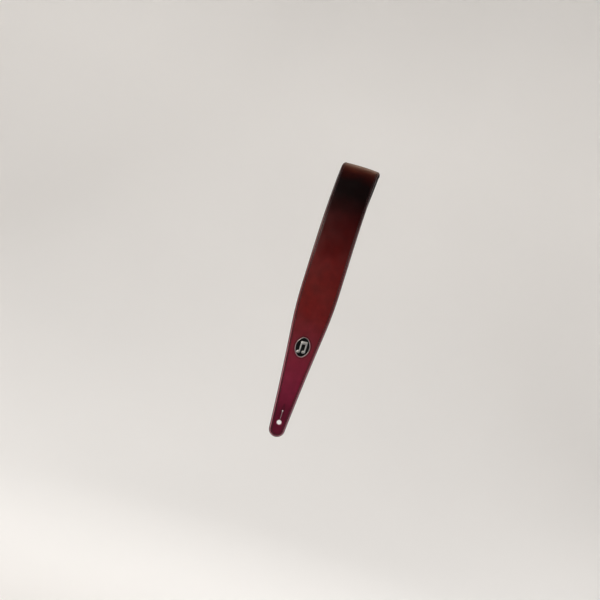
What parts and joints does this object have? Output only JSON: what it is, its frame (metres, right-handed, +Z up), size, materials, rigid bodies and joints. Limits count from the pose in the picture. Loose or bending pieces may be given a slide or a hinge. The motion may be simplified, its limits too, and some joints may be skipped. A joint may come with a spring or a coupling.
{
  "type": "guitar strap",
  "caption": "Wide tapered leather guitar strap arched over a shoulder, with button holes at both ends, an oval medallion and a buckled tail.",
  "frame": {"origin": "middle of the lining at the highest point of the arch, where the strap rests on the shoulder", "axes": "+Z up along the hanging strap, X across its width, -Y to the wearer's front"},
  "size_m": [0.07, 0.2082, 0.512],
  "materials": {
    "outer_leather": "vegetable-tanned cowhide, aniline dyed from near black over the shoulder through red to burgundy at the tip, burnished and polished",
    "core_leather": "undyed bonded leather core, seen only at cut edges where it is inked black",
    "lining_suede": "black suede split, fine nap",
    "thread": "waxed bonded polyester thread, dark oxblood",
    "hole_tab": "hard-rolled leather tab let into the core round the button hole",
    "pewter": "cast white metal, tumbled and lightly polished, dark in its corners",
    "enamel": "poured black enamel",
    "nickel_steel": "nickel-plated steel",
    "chape_leather": "dyed bridle leather, waxed",
    "buckle_metal": "nickel-plated zinc casting, polished"
  },
  "bodies": {
    "shoulder": {"outer_leather_shoulder": "outer_leather", "core_ply_shoulder": "core_leather", "lining_shoulder": "lining_suede", "stitching_shoulder": "thread"},
    "front_drop": {"outer_leather_front": "outer_leather", "core_ply_front": "core_leather", "lining_front": "lining_suede", "stitching_front": "thread", "front_hole_reinforcement": "hole_tab", "medallion_casting": "pewter", "medallion_enamel": "enamel", "medallion_screws": "nickel_steel", "medallion_washers": "nickel_steel"},
    "back_drop": {"outer_leather_back": "outer_leather", "core_ply_back": "core_leather", "lining_back": "lining_suede", "stitching_back": "thread", "buckle_chape": "chape_leather", "chape_rivets": "nickel_steel", "fixed_keeper": "chape_leather", "tail_outer": "outer_leather", "tail_lining": "lining_suede", "tail_stitching": "thread"},
    "buckle": {"buckle_frame": "buckle_metal"},
    "prong": {"buckle_prong": "buckle_metal"},
    "roller": {"buckle_roller": "nickel_steel"},
    "keeper": {"free_keeper": "chape_leather"}
  },
  "joints": [
    {"name": "front_swing", "type": "hinge", "parent": "shoulder", "child": "front_drop", "pos_m": [0, -0.05474, -0.02889], "axis": [-1, 0, 0], "range_deg": [0, 60]},
    {"name": "back_swing", "type": "hinge", "parent": "shoulder", "child": "back_drop", "pos_m": [0, 0.05826, -0.0368], "axis": [1, 0, 0], "range_deg": [0, 60]},
    {"name": "buckle_tilt", "type": "hinge", "parent": "back_drop", "child": "buckle", "pos_m": [0, 0.07842, -0.37196], "axis": [1, 0, 0], "range_deg": [0, 8]},
    {"name": "prong_lift", "type": "hinge", "parent": "buckle", "child": "prong", "pos_m": [0, 0.07842, -0.37196], "axis": [1, 0, 0], "range_deg": [0, 30]},
    {"name": "roller_spin", "type": "hinge", "parent": "buckle", "child": "roller", "pos_m": [0, 0.08872, -0.40596], "axis": [1, 0, 0], "continuous": true},
    {"name": "keeper_slide", "type": "slide", "parent": "back_drop", "child": "keeper", "axis": [0, 0, 1], "range_m": [0, 0.035]}
  ]
}
